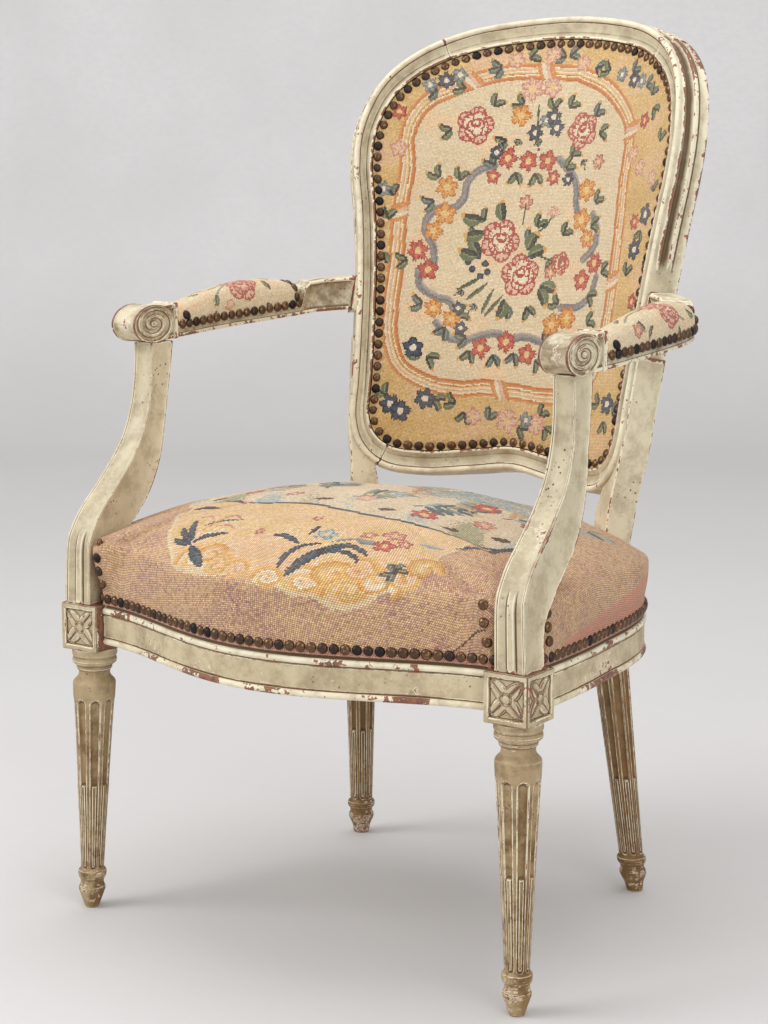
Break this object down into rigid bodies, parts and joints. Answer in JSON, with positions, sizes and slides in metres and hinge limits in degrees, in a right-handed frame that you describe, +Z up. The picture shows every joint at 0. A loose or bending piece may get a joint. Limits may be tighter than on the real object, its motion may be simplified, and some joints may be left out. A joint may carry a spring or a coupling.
{
  "type": "fauteuil",
  "caption": "Open-armed French upholstered armchair with a curved, moulded oval-topped back, scrolled padded arms, carved corner blocks and fluted tapered legs.",
  "frame": {"origin": "on the floor, in the middle of the chair's bounding box seen from above", "axes": "+Z up, the front of the chair faces -Y, +X is to the right as seen by someone who stands in front of the chair and looks at it"},
  "size_m": [0.5556, 0.6172, 0.8991],
  "materials": {
    "painted_wood": "old cream and grey-green distemper, rubbed on the edges, satin",
    "peg_wood": "bare beech, dull",
    "needlepoint": "wool needlepoint with flowers on cream and gold, matt",
    "plain_cloth": "plain cream linen, matt",
    "jute": "jute webbing and hessian, matt",
    "horsehair": "teased horsehair, matt",
    "brass_nails": "round-headed brass nails, browned, with rubbed crowns"
  },
  "bodies": {
    "root": {"front_leg_left": "painted_wood", "front_leg_right": "painted_wood", "rear_leg_stile_left": "painted_wood", "rear_leg_stile_right": "painted_wood", "front_seat_rail": "painted_wood", "side_seat_rail_left": "painted_wood", "side_seat_rail_right": "painted_wood", "back_seat_rail": "painted_wood", "crest_rail": "painted_wood", "lower_back_rail": "painted_wood", "arm_support_left": "painted_wood", "arm_support_right": "painted_wood", "armrest_left": "painted_wood", "armrest_right": "painted_wood", "front_rail_peg_left": "peg_wood", "front_rail_peg_right": "peg_wood", "side_rail_front_peg_left": "peg_wood", "side_rail_front_peg_right": "peg_wood", "side_rail_rear_peg_left": "peg_wood", "side_rail_rear_peg_right": "peg_wood", "back_rail_peg_left": "peg_wood", "back_rail_peg_right": "peg_wood", "crest_peg_left": "peg_wood", "crest_peg_right": "peg_wood", "lower_rail_peg_left": "peg_wood", "lower_rail_peg_right": "peg_wood", "arm_peg_left": "peg_wood", "arm_peg_right": "peg_wood", "front_rail_plug_outer": "peg_wood", "front_rail_plug_inner": "peg_wood", "seat_cover": "needlepoint", "back_cover_front": "needlepoint", "arm_pad_cover_left": "needlepoint", "arm_pad_cover_right": "needlepoint", "back_cover_outside": "plain_cloth", "seat_web_long_1": "jute", "seat_web_long_2": "jute", "seat_web_long_3": "jute", "seat_web_long_4": "jute", "seat_web_cross_1": "jute", "seat_web_cross_2": "jute", "seat_web_cross_3": "jute", "seat_web_cross_4": "jute", "seat_hessian": "jute", "back_web_cross_1": "jute", "back_web_cross_2": "jute", "back_web_cross_3": "jute", "back_web_upright_left": "jute", "back_web_upright_right": "jute", "back_hessian": "jute", "seat_stuffing": "horsehair", "back_stuffing": "horsehair", "arm_pad_stuffing_left": "horsehair", "arm_pad_stuffing_right": "horsehair"}
  },
  "joints": []
}
